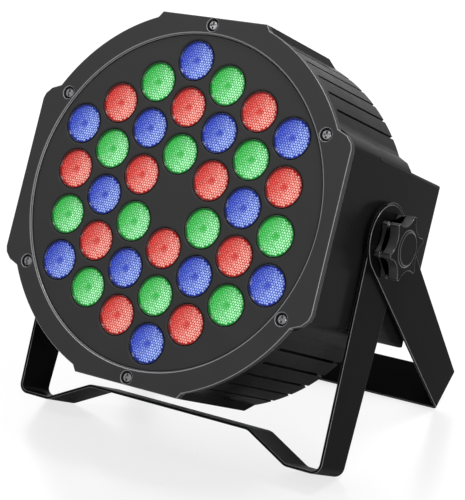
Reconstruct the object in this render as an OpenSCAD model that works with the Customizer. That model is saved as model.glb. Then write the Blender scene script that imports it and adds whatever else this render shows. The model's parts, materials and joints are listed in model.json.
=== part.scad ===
// LED par light on two folding brackets: a square head with grooved corners, a round lens panel,
// a boxed rear with its sockets and controls, and two hand knobs that clamp both brackets.
// Millimetres, +Z up, the lenses face -Y. The origin is on the floor under the middle of the light.

/* [Pose] */
// Tilt of the head, up from level
head_tilt = 27; // [20:1:32]

/* [Bezel] */
// Radius of the round opening, which the head's other sizes follow
opening_r = 84.3; // [80:0.1:90]
// Width of the bezel's ring at the side flats
side_rim = 8.2; // [7:0.1:10]
// Width of the bezel's ring at the top and the bottom flat
top_rim = 8.7; // [7:0.1:10]
// Width of the bezel's ring at the four corner arcs
corner_rim = 11.5; // [10.5:0.1:12.5]
// Distance from the opening's edge to the middles of the front screws
screw_rim = 4.9; // [4.5:0.1:5.3]
// Thickness of the plate
bezel_t = 3.6; // [3:0.1:5]
// How much shorter each side flat is than the opening's radius
side_flat_less = 1.3; // [0:0.1:6]
// Length of the top and the bottom flat
top_flat = 62; // [50:1:68]

/* [Housing] */
// Thickness of the moulded walls
wall = 2.5; // [2:0.1:3]
// Depth from the bezel's face to the back of the grooved part
body_depth = 70.4; // [64:0.1:76]
// Depth from the bezel's face to the back of the rear box
box_depth = 107; // [100:1:125]
// How much higher the rear box is than a side flat is long
box_over = 3; // [0:0.5:5]
// How far the side walls stand in from the bezel's sides
side_inset = 2; // [1:0.1:3]
// Rounding of the rear box's back edges
box_round = 4; // [2:0.5:6]

/* [Grooves] */
// Grooves in each corner
groove_count = 5; // [3:1:5]
// Width of a groove
groove_w = 1.7; // [1:0.1:2.4]
// Depth of a groove
groove_depth = 2.6; // [1:0.1:3]
// Angle from one groove to the next
groove_step = 6.3; // [5:0.1:6.4]
// Angle of the first groove above the light's middle
groove_first = 37.9; // [36:0.1:38]
// Depth at which the grooves start behind the bezel's face
groove_start = 9; // [6:0.5:20]

/* [Lenses] */
// Width of panel between two lenses
lens_web = 3.5; // [3.3:0.1:4.5]
// Width of panel between the outermost lenses and the opening's edge
lens_border = 3.1; // [2.8:0.1:5]
// Gap between a lens and its hole in the panel
lens_gap = 0.35; // [0.2:0.05:0.5]
// Turn of the lens pattern in the head
lens_turn = 4.6; // [0:0.1:8]
// Thickness of the lens panel
panel_t = 2.4; // [2:0.1:3]
// How far the panel lies behind the bezel's face
panel_recess = 1.2; // [0.8:0.1:1.4]
// How far a lens lies behind the panel's face
lens_recess = 0.5; // [0.3:0.1:0.8]
// Length of a lens from its face to its tip
lens_len = 12; // [10:0.5:14]

/* [LED board and heat sink] */
// How much smaller the LED board's radius is than the opening's
board_less = 5.3; // [4.5:0.1:7]
// Thickness of every circuit board
board_t = 1.6; // [1:0.1:2]
// Thickness of the heat sink's plate
sink_t = 3; // [2:0.5:5]
// Height of the heat sink's fins
sink_fin_h = 10; // [6:1:16]
// Number of fins
sink_fins = 13; // [9:2:15]

/* [Brackets] */
// Thickness of the bent steel strips
strip_t = 1.5; // [1.2:0.1:1.6]
// Depth of the pivot behind the bezel's face
pivot_depth = 53.5; // [50:0.5:56]
// Height of the pivot above the head's middle
pivot_up = 3.5; // [0:0.5:6]
// How far the pivot pads stand out from the side walls
pad_t = 2.2; // [1.5:0.1:3]
// How far the front bracket's feet reach past the head's lower flat
foot_drop = 19.9; // [19:0.1:22]
// Height of the front bracket's middle bar above its feet
front_rise = 12.3; // [10:0.1:12.6]
// Half the length of the front bracket's middle bar
front_bar_half = 49; // [40:1:55]
// Distance from the middle to where each front foot starts
front_foot_x = 74; // [70:1:78]
// How far the rear bracket's bar reaches past the head's lower flat
rear_drop = 24.5; // [23.5:0.1:28]
// Width of the front bracket's feet and bar
front_bar_w = 24; // [20:1:26]
// Width of the rear bracket's bar
rear_bar_w = 24.6; // [22:0.1:28]
// Radius of the front legs' round ends
front_end_r = 17; // [15:0.5:18]
// Radius of the rear legs' round ends
rear_end_r = 17.5; // [15:0.5:18]
// How far the middle of a round end lies past the pivot
end_over = 4; // [0:0.5:6]
// Diameter of the clamp hole in the middle of each bar
clamp_d = 10.5; // [8:0.1:13]

/* [Knobs] */
// Diameter over the lobes
knob_d = 32.6; // [28:0.1:35]
// Number of lobes
knob_lobes = 6; // [5:1:7]
// Thickness of the whole knob
knob_t = 10.5; // [9:0.5:16]
// Diameter of the threaded stud
stud_d = 8; // [6:1:8]
// Diameter of the flat washer under the knob
washer_d = 17; // [16:0.5:18]
// Thickness of the washer
washer_t = 1.2; // [1:0.1:1.6]

/* [Rear panel] */
// Width of the rear panel on each side of the fan
panel_side = 60.5; // [60.5:0.5:65.5]
// Thickness of the fan
fan_t = 15; // [10:1:20]
// Distance from the fan's edges to the middles of its screws
fan_screw_in = 5; // [4:0.5:6]
// Number of fan blades
fan_blades = 7; // [5:1:9]
// Diameter of a push button
button_d = 7; // [6:0.5:8]
// Distance from one push button to the next
button_pitch = 12; // [10:0.5:12.5]
// How far a push button stands out
button_proud = 1.3; // [0.8:0.1:2]
// Width of the display window
window_w = 36; // [30:1:40]
// Height of the display window
window_h = 14; // [12:1:16]
// Diameter of the data sockets' shells
data_d = 23.6; // [22:0.1:24]

/* [Clearances] */
// Gap between faces that turn on each other
face_gap = 0.1; // [0.05:0.05:0.2]
// Radial gap between the stud and the holes that it turns in
bore_gap = 0.06; // [0.02:0.01:0.1]
// Gap round loose fitting pieces
slip = 0.3; // [0.2:0.05:0.4]

/* [Hidden] */
$fn = 96;
// Bezel and housing outlines
bezel_x = opening_r + side_rim;
bezel_z = opening_r + top_rim;
corner_r = opening_r + corner_rim;
side_flat = opening_r - side_flat_less;
box_h = side_flat + box_over;
bezel_shoulder_x = bezel_x - 9.8;
top_shoulder = 3.2;
shoulder_round = 1.8;
shell_x = bezel_x - side_inset;
shell_r = corner_r - 0.8;
shell_shoulder_x = shell_x - 9.9;
shell_side_half = box_h / 2 - 0.8;
groove_floor_r = shell_r - groove_depth;
cavity_r = groove_floor_r - wall;
cut = 1;
// Front screws
screw_circle_r = opening_r + screw_rim;
screw_r = 1.5;
screw_head_r = 2.9;
screw_sink_r = 3.3;
screw_sink = 2.2;
screw_head_t = 1.6;
screw_len = 12;
boss_r = 4;
screw_angles = [30, 90, 150, 210, 270, 330];
tight = 0.05;
board_screw_r = 1.1;
board_screw_len = 6;
board_head_r = 2.6;
board_head_t = 1.8;
board_post_r = 2.8;
socket_screw_r = 1.2;
socket_screw_len = 7;
socket_head_t = 1.6;
ledge_r = opening_r - 0.8;
ledge_t = 2.4;
flange_t = 2;
flange_r = opening_r + 2.7;
// Lens pattern: from the middle of the light to its outermost lenses are three pitches and half a lens
lens_pitch = (opening_r - lens_border + lens_web / 2) / 3.5;
lens_d = lens_pitch - lens_web;
// Stack behind the bezel's face
panel_y = panel_recess;
panel_back = panel_y + panel_t;
lens_y = panel_y + lens_recess;
lens_back = lens_y + lens_len;
lens_rim = 1.6;
lens_step = 1;
lens_tip_r = 4.2;
cup_over = 0.4;
cup_foot_r = 7.8;
touch = 0.02;
chip_w = 5;
chip_t = 1;
led_board_y = lens_back + chip_t + 0.4;
sink_y = led_board_y + board_t;
sink_back = sink_y + sink_t;
ledge_y = bezel_t + flange_t;
board_r = opening_r - board_less;
// Posts that carry the heat sink
post_circle_r = board_r - 5;
post_angles = [60, 120, 240, 300];
post_r = 4;
body_inner = body_depth - wall;
box_inner = box_depth - wall;
// Pivot and brackets: both brackets stand on the floor, so the rear one's lean follows from its length
front_half = front_bar_w / 2;
rear_half = rear_bar_w / 2;
front_len = bezel_z + pivot_up + foot_drop;
rear_len = bezel_z + pivot_up + rear_drop;
pivot_h = front_len * cos(head_tilt) + front_half * sin(head_tilt);
rear_lean = atan2(rear_half, rear_len) + acos(pivot_h / norm([rear_len, rear_half]));
front_out = shell_x + pad_t + face_gap + strip_t;
front_in = front_out - strip_t;
rear_out = front_out + face_gap + strip_t;
knob_x = rear_out + face_gap;
knob_r = knob_d / 2;
knob_face = knob_x + knob_t;
knob_turn = 24;
pad_r = 14;
pad_over = 6;
front_bend = 5.5;
joggle_bend = 7;
rear_bend = 2.2;
bore_r = stud_d / 2;
stud_r = bore_r - bore_gap;
insert_r = 6;
insert_len = 12;
insert_boss_r = 9;
stud_in = shell_x - insert_len + 1;
stud_out = knob_face - 3;
// The light's middle lies over the origin: half way from the bezel's foot to the rear bracket's heel
front_reach = pivot_depth * cos(head_tilt) + (bezel_z + pivot_up) * sin(head_tilt);
rear_reach = rear_len * sin(rear_lean) + rear_half * cos(rear_lean);
pivot_y = (front_reach - rear_reach) / 2;
// Rear panel layout, across and up from the head's middle
control_w = 54;
control_x = shell_x - wall - 3 - control_w / 2;
window_z = 14;
button_z = -8;
data_x = [46 - shell_x, 18 - shell_x];
data_z = 19;
inlet_x = 32.5 - shell_x;
inlet_z = -21;
mic_z = -24;
control_h = 54;
control_z = -5;
control_y = box_inner - 8;
switch_w = 6;
switch_t = 3.6;
plunger_r = 1.7;
mic_r = 3;
digit_w = 7;
digit_h = 11;
digit_gap = 0.3;
window_lip = 1.5;
button_travel = 0.3;
button_flange_t = 1.2;
button_flange_r = button_d / 2 + 1;
flat_t = 2;
inlet_w = 27;
inlet_h = 20;
inlet_flange_w = 50;
inlet_flange_h = 22.5;
inlet_len = 18;
inlet_screw_x = 20;
inlet_blades = [[-7, -2], [0, 2], [7, -2]];
data_flange_w = 26;
data_flange_h = 31;
data_len = 18;
data_screw = [9.5, 12];
data_cavity_r = 8;
latch_w = 6;
latch_h = 3.4;
latch_z = 13;
latch_y = box_depth + 0.5;
latch_proud = 0.8;
data_pin_ring = 4.2;
data_pins = [for (a = [0, 180, 270]) [data_pin_ring * cos(a), data_pin_ring * sin(a)]];
// Driver board above the rear box
driver_w = 50;
driver_h = 28;
driver_z = bezel_z - 29;
driver_gap = 6;
driver_y = body_inner - driver_gap - board_t;
driver_hole = [driver_w / 2 - 4, driver_h / 2 - 4];
coil_x = -4;
coil_w = 20;
coil_h = 16;
can_x = [11, 19];
can_down = 3;
can_r = 3.6;
can_h = 14;
plug_x = -19.5;
plug_w = 6;
plug_l = 10;
plug_h = 9;
chip_x = 12;
chip_up = 8;
chip_l = 8;
chip_d = 5;
chip_h = 6;
// Fan behind the rear panel's grille
fan_w = 2 * (shell_x - panel_side);
fan_screw_pitch = fan_w - 2 * fan_screw_in;
fan_y = box_inner - fan_t;
fan_bore_r = fan_w / 2 - 1.6;
fan_hub_r = 13;
fan_hub_gap = 1.2;
fan_axle_r = 1.5;
grille_rings = 5;
grille_slot = 3;
grille_rib = 2.2;

// ---------------------------------------------------------------- placing

// The head's own frame: X to the viewer's right, Y back from the bezel's face, Z up the face
module in_head() {
    translate([0, pivot_y, pivot_h])
        rotate([-head_tilt, 0, 0])
            translate([0, -pivot_depth, -pivot_up]) children();
}

// A bracket's own frame: the pivot is its origin and its legs hang down
module in_bracket(swing) {
    translate([0, pivot_y, pivot_h]) rotate([swing, 0, 0]) children();
}

// A flat outline (across, up) made solid from depth y0 to y1
module slab(y0, y1) {
    translate([0, y1, 0]) rotate([90, 0, 0]) linear_extrude(height = y1 - y0) children();
}

// A flat outline (depth, up) made solid across from x0 to x1
module across(x0, x1) {
    translate([x0, 0, 0]) rotate([90, 0, 90]) linear_extrude(height = x1 - x0) children();
}

// A rod or cone along the depth
module rod(x, z, y0, y1, r, r_end = -1) {
    translate([x, y0, z]) rotate([-90, 0, 0])
        cylinder(h = y1 - y0, r1 = r, r2 = r_end < 0 ? r : r_end);
}

// A rod along X
module cross_rod(x0, x1, r) {
    translate([x0, 0, 0]) rotate([0, 90, 0]) cylinder(h = x1 - x0, r = r);
}

// A copy for each side of the light
module both_sides() {
    children();
    mirror([1, 0, 0]) children();
}

// ---------------------------------------------------------------- outlines

// The head's outline from depth y0 to y1: four corner arcs with flats and crowned shoulders
// between them. The three slabs overlap, so that they join into one solid.
module head_block(y0, y1, x, side_half, shoulder_x, z, top_half, r) {
    tuck = 1;
    crown = 0.8;
    shoulder_z = sqrt(r * r - shoulder_x * shoulder_x);
    crown_x = (shoulder_x + x) / 2 + crown;
    crown_z = (shoulder_z + side_half) / 2 + crown;
    corner_x = x - shoulder_round / 2;
    corner_z = side_half + shoulder_round / 2;
    foot_z = side_half - shoulder_round;
    top_x = top_half + top_shoulder;
    top_z = sqrt(r * r - top_x * top_x) - tuck;
    slab(y0, y1) intersection() {
        circle(r = r, $fn = 180);
        square([2 * (x - tuck), 2 * (z - tuck)], center = true);
    }
    slab(y0, y1) polygon([
        [shoulder_x - tuck, shoulder_z], [crown_x, crown_z], [corner_x, corner_z], [x, foot_z],
        [x, -foot_z], [corner_x, -corner_z], [crown_x, -crown_z], [shoulder_x - tuck, -shoulder_z],
        [-shoulder_x + tuck, -shoulder_z], [-crown_x, -crown_z], [-corner_x, -corner_z], [-x, -foot_z],
        [-x, foot_z], [-corner_x, corner_z], [-crown_x, crown_z], [-shoulder_x + tuck, shoulder_z]
    ]);
    slab(y0, y1) polygon([
        [top_half, z], [top_x, top_z], [top_x, -top_z], [top_half, -z],
        [-top_half, -z], [-top_x, -top_z], [-top_x, top_z], [-top_half, z]
    ]);
}

module bezel_block(y0, y1) {
    head_block(y0, y1, bezel_x, side_flat / 2, bezel_shoulder_x, bezel_z, top_flat / 2, corner_r);
}

module shell_block(y0, y1) {
    head_block(y0, y1, shell_x, shell_side_half, shell_shoulder_x, bezel_z, top_flat / 2, shell_r);
}

module cavity_block(y0, y1) {
    head_block(y0, y1, shell_x - wall, shell_side_half - 1, shell_shoulder_x - 2 * wall,
        bezel_z - wall - 1, top_flat / 2 - wall, cavity_r);
}

// A rectangle with round corners, from exact squares and circles
module round_rect(w, h, r) {
    square([w - 2 * r, h], center = true);
    square([w, h - 2 * r], center = true);
    for (x = [-1, 1], z = [-1, 1])
        translate([x * (w / 2 - r), z * (h / 2 - r)]) circle(r = r, $fn = 48);
}

// ---------------------------------------------------------------- bezel and lens panel

module at_screws() {
    for (a = screw_angles)
        translate([screw_circle_r * cos(a), 0, screw_circle_r * sin(a)]) children();
}

module bezel() {
    edge = 0.7;
    color("#3c3c3c") in_head() difference() {
        bezel_block(0, bezel_t);
        rod(0, 0, -cut, bezel_t + cut, opening_r);
        rod(0, 0, -cut, edge, opening_r + edge + cut, opening_r);
        at_screws() {
            rod(0, 0, -cut, screw_sink, screw_sink_r);
            rod(0, 0, 0, bezel_t + cut, screw_r + slip);
        }
    }
}

// A pan-head screw along the depth, its head's top at depth y, with a cross recess
module pan_screw(y, head_r, head_t, shank_r, length, seat) {
    slot_w = head_r * 0.36;
    slot_l = head_r * 1.25;
    difference() {
        union() {
            rod(0, 0, y + head_t / 2, y + seat, head_r);
            rod(0, 0, y, y + head_t / 2, head_r * 0.7, head_r);
            rod(0, 0, y + seat, y + seat + length, shank_r);
        }
        slab(y - cut, y + head_t * 0.6) {
            square([slot_w, slot_l], center = true);
            square([slot_l, slot_w], center = true);
        }
    }
}

module bezel_screws() {
    color("#b8b8b8") in_head() at_screws()
        pan_screw(screw_sink - screw_head_t, screw_head_r, screw_head_t, screw_r, screw_len, screw_head_t);
}

// Places of one colour's lenses: seven upright rows in a hexagon, its middle place left out
function lens_places(tint) = [for (i = [-3:3], k = [0:6 - abs(i)])
    if (!(i == 0 && k == 3) && (tint < 0 || (k + 2 * abs(i)) % 3 == tint))
        [i * lens_pitch * sqrt(3) / 2, (3 - abs(i) / 2 - k) * lens_pitch]];

module at_lenses(tint = -1) {
    rotate([0, -lens_turn, 0])
        for (p = lens_places(tint)) translate([p[0], 0, p[1]]) children();
}

module lens_panel() {
    hole_r = lens_d / 2 + lens_gap;
    rim = 0.6;
    color("#2a2a2a") in_head() difference() {
        union() {
            slab(panel_y, bezel_t) circle(r = opening_r - slip, $fn = 180);
            slab(bezel_t, ledge_y) circle(r = flange_r, $fn = 180);
        }
        slab(panel_back, ledge_y + cut) circle(r = ledge_r - 1, $fn = 180);
        at_screws() rod(0, 0, 0, ledge_y + cut, boss_r + slip);
        at_lenses() {
            rod(0, 0, 0, ledge_y + cut, hole_r);
            rod(0, 0, panel_y - rim, panel_y + rim, hole_r + 2 * rim, hole_r);
        }
    }
}

// A collimator lens: a round face with a step rim, and a cone down to the chip
module lens() {
    r = lens_d / 2;
    dish = 0.5;
    translate([0, lens_y, 0]) rotate([-90, 0, 0]) rotate_extrude($fn = 48) polygon([
        [0, dish], [r - lens_step - 0.2, dish], [r - lens_step, 0], [r, 0], [r, lens_rim],
        [r - lens_step, lens_rim], [lens_tip_r, lens_len], [0, lens_len]
    ]);
}

module lenses_red() { color("#c16258") in_head() at_lenses(1) lens(); }
module lenses_green() { color("#5abe6e") in_head() at_lenses(2) lens(); }
module lenses_blue() { color("#5a72bb") in_head() at_lenses(0) lens(); }

// Black cups that hold each lens over its chip
module lens_cups() {
    r = lens_d / 2 + lens_gap + cup_over;
    inner = lens_d / 2 - lens_step + 2 * slip;
    seat = panel_back + slip;
    color("#1c1c1c") in_head() at_lenses() difference() {
        rod(0, 0, seat, led_board_y - touch, r, cup_foot_r);
        rod(0, 0, seat - cut, lens_back + slip, inner, lens_tip_r + slip);
        slab(lens_back - slip, led_board_y + cut) square([chip_w + 1, chip_w + 1], center = true);
    }
}

module led_chips() {
    color("#e8e2c8") in_head() at_lenses() {
        slab(led_board_y - chip_t, led_board_y) square([chip_w, chip_w], center = true);
        rod(0, 0, led_board_y - chip_t - 0.3, led_board_y - chip_t, 1.6);
    }
}

// The posts stand outside the lens pattern's slanting sides
module at_posts() {
    rotate([0, -lens_turn, 0])
        for (a = post_angles) translate([post_circle_r * cos(a), 0, post_circle_r * sin(a)]) children();
}

module led_board() {
    color("#e6e6e0") in_head() difference() {
        slab(led_board_y, led_board_y + board_t) circle(r = board_r, $fn = 120);
        rod(0, 0, 0, sink_back, 5);
        at_posts() rod(0, 0, 0, sink_back, screw_r + slip);
    }
}

// The fins end inside the ring of posts
module heat_sink() {
    fin_t = 1.5;
    fin_reach = post_circle_r - post_r - 3;
    fin_pitch = 2 * (fin_reach - 6) / (sink_fins - 1);
    color("#c4c6c8") in_head() difference() {
        union() {
            slab(sink_y, sink_back) circle(r = board_r, $fn = 120);
            for (i = [0:sink_fins - 1]) {
                x = (i - (sink_fins - 1) / 2) * fin_pitch;
                half = sqrt(fin_reach * fin_reach - x * x);
                translate([x - fin_t / 2, sink_y + sink_t / 2, -half])
                    cube([fin_t, sink_t / 2 + sink_fin_h, 2 * half]);
            }
        }
        rod(0, 0, 0, sink_back + sink_fin_h + cut, 5);
        at_posts() rod(0, 0, 0, sink_back + cut, screw_r + slip);
    }
}

module heat_sink_screws() {
    color("#b8b8b8") in_head() at_posts()
        pan_screw(led_board_y - 2, 2.8, 2, screw_r, 13, 2);
}

// ---------------------------------------------------------------- housing

module grooves(y0, y1) {
    slab(y0, y1) for (i = [0:groove_count - 1], sx = [0, 1], sz = [0, 1])
        mirror([sx, 0]) mirror([0, sz])
            rotate(groove_first + i * groove_step)
                translate([groove_floor_r, -groove_w / 2]) square([groove_depth + 3, groove_w]);
}

// The rear box as the crossing of three outlines, which rounds its long and its back edges
module rear_box(inset, back, r) {
    w = 2 * (shell_x - inset);
    h = box_h - 2 * inset;
    front = body_depth / 2;
    intersection() {
        slab(front, back) round_rect(w, h, 2);
        translate([0, 0, -box_h]) linear_extrude(height = 2 * box_h) {
            translate([-w / 2, front]) square([w, back - r - front]);
            translate([-w / 2 + r, front]) square([w - 2 * r, back - front]);
            for (s = [-1, 1]) translate([s * (w / 2 - r), back - r]) circle(r = r, $fn = 64);
        }
        across(-shell_x, shell_x) {
            translate([front, -h / 2]) square([back - r - front, h]);
            translate([front, -h / 2 + r]) square([back - front, h - 2 * r]);
            for (s = [-1, 1]) translate([back - r, s * (h / 2 - r)]) circle(r = r, $fn = 64);
        }
    }
}

// Raised pad round each pivot, from the wall's lower edge up past the pivot
module pivot_pad() {
    top = pivot_up + pad_over;
    across(shell_x - wall, shell_x + pad_t) {
        translate([pivot_depth, top]) circle(r = pad_r, $fn = 96);
        translate([pivot_depth - pad_r, -shell_side_half + 1])
            square([2 * pad_r, top + shell_side_half - 1]);
    }
}

module fan_grille() {
    intersection() {
        difference() {
            for (i = [0:grille_rings - 1]) {
                r = fan_hub_r - 5 + i * (grille_slot + grille_rib) + grille_slot;
                difference() {
                    circle(r = r, $fn = 96);
                    circle(r = r - grille_slot, $fn = 96);
                }
            }
            for (a = [45, 135]) rotate(a) square([2 * fan_w, 4], center = true);
        }
        circle(r = fan_bore_r, $fn = 96);
    }
}

module at_fan_screws() {
    half = fan_screw_pitch / 2;
    for (x = [-1, 1], z = [-1, 1]) translate([x * half, 0, z * half]) children();
}

module at_driver_screws() {
    for (x = [-1, 1], z = [-1, 1])
        translate([x * driver_hole[0], 0, driver_z + z * driver_hole[1]]) children();
}

module at_buttons(only = -1) {
    for (i = [0:3]) if (only < 0 || only == i)
        translate([control_x + (1.5 - i) * button_pitch, 0, button_z]) children();
}

module at_control_posts() {
    for (x = [-1, 1], z = [-1, 1])
        translate([control_x + x * (control_w / 2 - 4), 0, control_z + z * (control_h / 2 - 4)]) children();
}

// Vent slots in the back wall below the rear box
module back_vents() {
    vent_pitch = 7;
    vent_w = 2.6;
    vent_h = 24;
    for (i = [-3:3]) translate([i * vent_pitch, -driver_z]) square([vent_w, vent_h], center = true);
}

module rear_cutouts() {
    fan_grille();
    translate([control_x, window_z]) square([window_w + slip, window_h + slip], center = true);
    for (i = [0:3]) translate([control_x + (1.5 - i) * button_pitch, button_z])
        circle(r = button_d / 2 + slip / 2, $fn = 48);
    translate([control_x, mic_z]) circle(r = 1.5, $fn = 32);
    for (x = data_x) translate([x, data_z]) circle(r = data_d / 2 + slip, $fn = 64);
    translate([inlet_x, inlet_z]) square([inlet_w + slip, inlet_h + slip], center = true);
}

module housing() {
    block_back = body_depth - 5;
    color("#202020") in_head() {
        difference() {
            union() {
                difference() {
                    shell_block(bezel_t, body_depth);
                    grooves(groove_start, body_depth + cut);
                    for (s = [0, 1]) mirror([0, 0, s]) across(-bezel_x, bezel_x)
                        polygon([[block_back, bezel_z + cut], [body_depth + cut, bezel_z + cut],
                            [body_depth + cut, bezel_z - 5], [block_back, bezel_z]]);
                }
                rear_box(0, box_depth, box_round);
                both_sides() pivot_pad();
            }
            difference() {
                union() {
                    cavity_block(bezel_t - cut, body_inner);
                    rear_box(wall, box_inner, box_round - 1);
                }
                at_screws() rod(0, 0, 0, bezel_t + screw_len + 6, boss_r);
                both_sides() translate([0, pivot_depth, pivot_up])
                    cross_rod(shell_x - insert_len - 2, shell_x, insert_boss_r);
                at_posts() rod(0, 0, sink_back, body_depth, post_r);
                at_driver_screws() rod(0, 0, driver_y + board_t, body_depth, board_post_r);
                at_control_posts() rod(0, 0, control_y + board_t, box_depth, board_post_r);
                slab(ledge_y, ledge_y + ledge_t) difference() {
                    circle(r = shell_r, $fn = 120);
                    circle(r = ledge_r, $fn = 120);
                }
            }
            slab(box_inner - cut, box_depth + cut) rear_cutouts();
            slab(body_inner - cut, body_depth + cut) back_vents();
            at_screws() rod(0, 0, 0, bezel_t + screw_len, screw_r + 0.05);
            at_posts() rod(0, 0, sink_back - cut, sink_back + 12, screw_r + 0.05);
            at_driver_screws() rod(0, 0, driver_y, driver_y + board_screw_len + tight, board_screw_r + tight);
            at_control_posts() rod(0, 0, control_y, control_y + board_screw_len + tight, board_screw_r + tight);
            at_fan_screws() rod(0, 0, box_inner - cut, box_depth + cut, screw_r + slip);
            at_socket_screws() rod(0, 0, box_inner - cut, box_depth + cut, socket_screw_r + tight);
            both_sides() translate([0, pivot_depth, pivot_up]) {
                cross_rod(shell_x - insert_len, shell_x - wall / 2, insert_r);
                cross_rod(shell_x - insert_len - cut, shell_x + pad_t + cut, bore_r + 1);
            }
        }
    }
}

// ---------------------------------------------------------------- inside the housing

module thread_inserts() {
    color("#b89a4a") in_head() both_sides() translate([0, pivot_depth, pivot_up]) difference() {
        cross_rod(shell_x - insert_len, shell_x - wall / 2, insert_r - 0.02);
        cross_rod(shell_x - insert_len - cut, shell_x + cut, bore_r);
    }
}

module driver_board() {
    color("#2f6b3a") in_head() difference() {
        slab(driver_y, driver_y + board_t) translate([0, driver_z]) round_rect(driver_w, driver_h, 2);
        at_driver_screws() rod(0, 0, driver_y - cut, driver_y + board_t + cut, board_screw_r + slip);
    }
}

module driver_parts() {
    color("#d8c070") in_head() {
        slab(driver_y - coil_h, driver_y) translate([coil_x, driver_z]) round_rect(coil_w, coil_w - 2, 1);
        for (x = can_x) rod(x, driver_z - can_down, driver_y - can_h, driver_y, can_r);
        slab(driver_y - plug_h, driver_y) translate([plug_x, driver_z])
            square([plug_w, plug_l], center = true);
        slab(driver_y - chip_h, driver_y) translate([chip_x, driver_z + chip_up])
            square([chip_l, chip_d], center = true);
    }
}

module driver_screws() {
    color("#b8b8b8") in_head() at_driver_screws()
        pan_screw(driver_y - board_head_t, board_head_r, board_head_t, board_screw_r, board_screw_len,
            board_head_t);
}

module fan_frame() {
    flange = 2.4;
    color("#1a1a1a") in_head() difference() {
        union() {
            slab(fan_y, box_inner) difference() {
                round_rect(fan_w, fan_w, 3);
                circle(r = fan_bore_r);
            }
            rod(0, 0, box_inner - 3, box_inner, fan_hub_r);
            slab(box_inner - 3, box_inner) for (a = [20, 140, 260]) rotate(a)
                translate([0, -1.5]) square([fan_bore_r + 1, 3]);
        }
        for (a = [0, 90, 180, 270]) rotate([0, a, 0])
            slab(fan_y + flange, box_inner - flange) translate([fan_w / 2, fan_w / 2]) circle(r = 8.5);
        at_fan_screws() rod(0, 0, fan_y - cut, box_inner + cut, screw_r + 0.05);
        rod(0, 0, box_inner - 3 - cut, box_inner - 1, fan_axle_r + 0.05);
    }
}

module fan_rotor() {
    blade_t = 1.2;
    blade_tilt = 38;
    back = box_inner - 3 - fan_hub_gap;
    front = fan_y + 0.8;
    tip_r = fan_bore_r - 1;
    color("#262626") in_head() {
        difference() {
            rod(0, 0, front, back, fan_hub_r - 0.5);
            rod(0, 0, front + 2, back + cut, fan_hub_r - 2);
        }
        rod(0, 0, front + 1, box_inner - 1.2, fan_axle_r);
        intersection() {
            for (i = [0:fan_blades - 1]) rotate([0, i * 360 / fan_blades, 0])
                translate([0, (front + back) / 2, 0]) rotate([0, 0, blade_tilt])
                    translate([-blade_t / 2, -fan_t, fan_hub_r - 2]) cube([blade_t, 2 * fan_t, fan_w]);
            slab(front + 0.4, back - 0.2) difference() {
                circle(r = tip_r);
                circle(r = fan_hub_r - 1.2);
            }
        }
    }
}

// Screws put in from behind, their heads outside the rear panel
module from_behind(y) { translate([0, y, 0]) rotate([0, 0, 180]) children(); }

module fan_screws() {
    color("#8c8c8c") in_head() at_fan_screws()
        from_behind(box_depth + 2) pan_screw(0, 3, 2, screw_r, fan_t - 2, 2);
}

module control_board() {
    color("#2f6b3a") in_head() difference() {
        slab(control_y, control_y + board_t) translate([control_x, control_z])
            round_rect(control_w, control_h, 1);
        at_control_posts() rod(0, 0, control_y - cut, control_y + board_t + cut, board_screw_r + slip);
    }
}

module control_screws() {
    color("#b8b8b8") in_head() at_control_posts()
        pan_screw(control_y - board_head_t, board_head_r, board_head_t, board_screw_r, board_screw_len,
            board_head_t);
}

module display_digits() {
    lit = box_inner - 0.6;
    color("#333333") in_head() slab(control_y + board_t, lit)
        for (i = [-1.5:1.5]) translate([control_x + i * (digit_w + digit_gap), window_z])
            square([digit_w, digit_h], center = true);
}

module display_window() {
    color("#5a1414") in_head() {
        slab(box_inner, box_depth - 0.2) translate([control_x, window_z])
            square([window_w, window_h], center = true);
        slab(box_inner - 0.5, box_inner) translate([control_x, window_z])
            square([window_w + 2 * window_lip, window_h + 2 * window_lip], center = true);
    }
}

module button_switches() {
    plunger = box_inner - slip - button_flange_t - button_travel - 0.1;
    color("#9a9a9a") in_head() at_buttons() {
        slab(control_y + board_t, control_y + board_t + switch_t)
            square([switch_w, switch_w], center = true);
        rod(0, 0, control_y + board_t + switch_t, plunger, plunger_r);
    }
}

module microphone() {
    color("#a8a8a8") in_head() rod(control_x, mic_z, control_y + board_t, box_inner - slip, mic_r);
}

module button_cap(i) {
    seat = box_inner - slip;
    color("#2c2c2c") in_head() at_buttons(i) {
        rod(0, 0, seat - button_flange_t, seat, button_flange_r);
        rod(0, 0, seat, box_depth + button_proud - 0.4, button_d / 2);
        rod(0, 0, box_depth + button_proud - 0.4, box_depth + button_proud, button_d / 2, button_d / 2 - 0.4);
    }
}

module menu_button() { button_cap(0); }
module down_button() { button_cap(1); }
module up_button() { button_cap(2); }
module enter_button() { button_cap(3); }

// ---------------------------------------------------------------- sockets

// Mains inlet: a six-sided cavity with three flat blades, open to the rear
module power_inlet() {
    cavity_w = 24.4;
    cavity_h = 16.6;
    nick = 4.4;
    color("#181818") in_head() translate([inlet_x, 0, inlet_z]) difference() {
        union() {
            slab(box_depth, box_depth + flat_t) round_rect(inlet_flange_w, inlet_flange_h, 3);
            slab(box_depth - inlet_len, box_depth) square([inlet_w, inlet_h], center = true);
        }
        slab(box_depth - inlet_len + 2.5, box_depth + flat_t + cut) polygon([
            [-cavity_w / 2, -cavity_h / 2], [cavity_w / 2, -cavity_h / 2],
            [cavity_w / 2, cavity_h / 2 - nick], [cavity_w / 2 - nick, cavity_h / 2],
            [-cavity_w / 2 + nick, cavity_h / 2], [-cavity_w / 2, cavity_h / 2 - nick]
        ]);
        for (x = [-1, 1])
            rod(x * inlet_screw_x, 0, box_depth - cut, box_depth + flat_t + cut, screw_r + slip);
        for (p = inlet_blades) translate([p[0], 0, p[1]])
            slab(box_depth - inlet_len - cut, box_depth) square([2.04, 4.04], center = true);
    }
}

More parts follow.
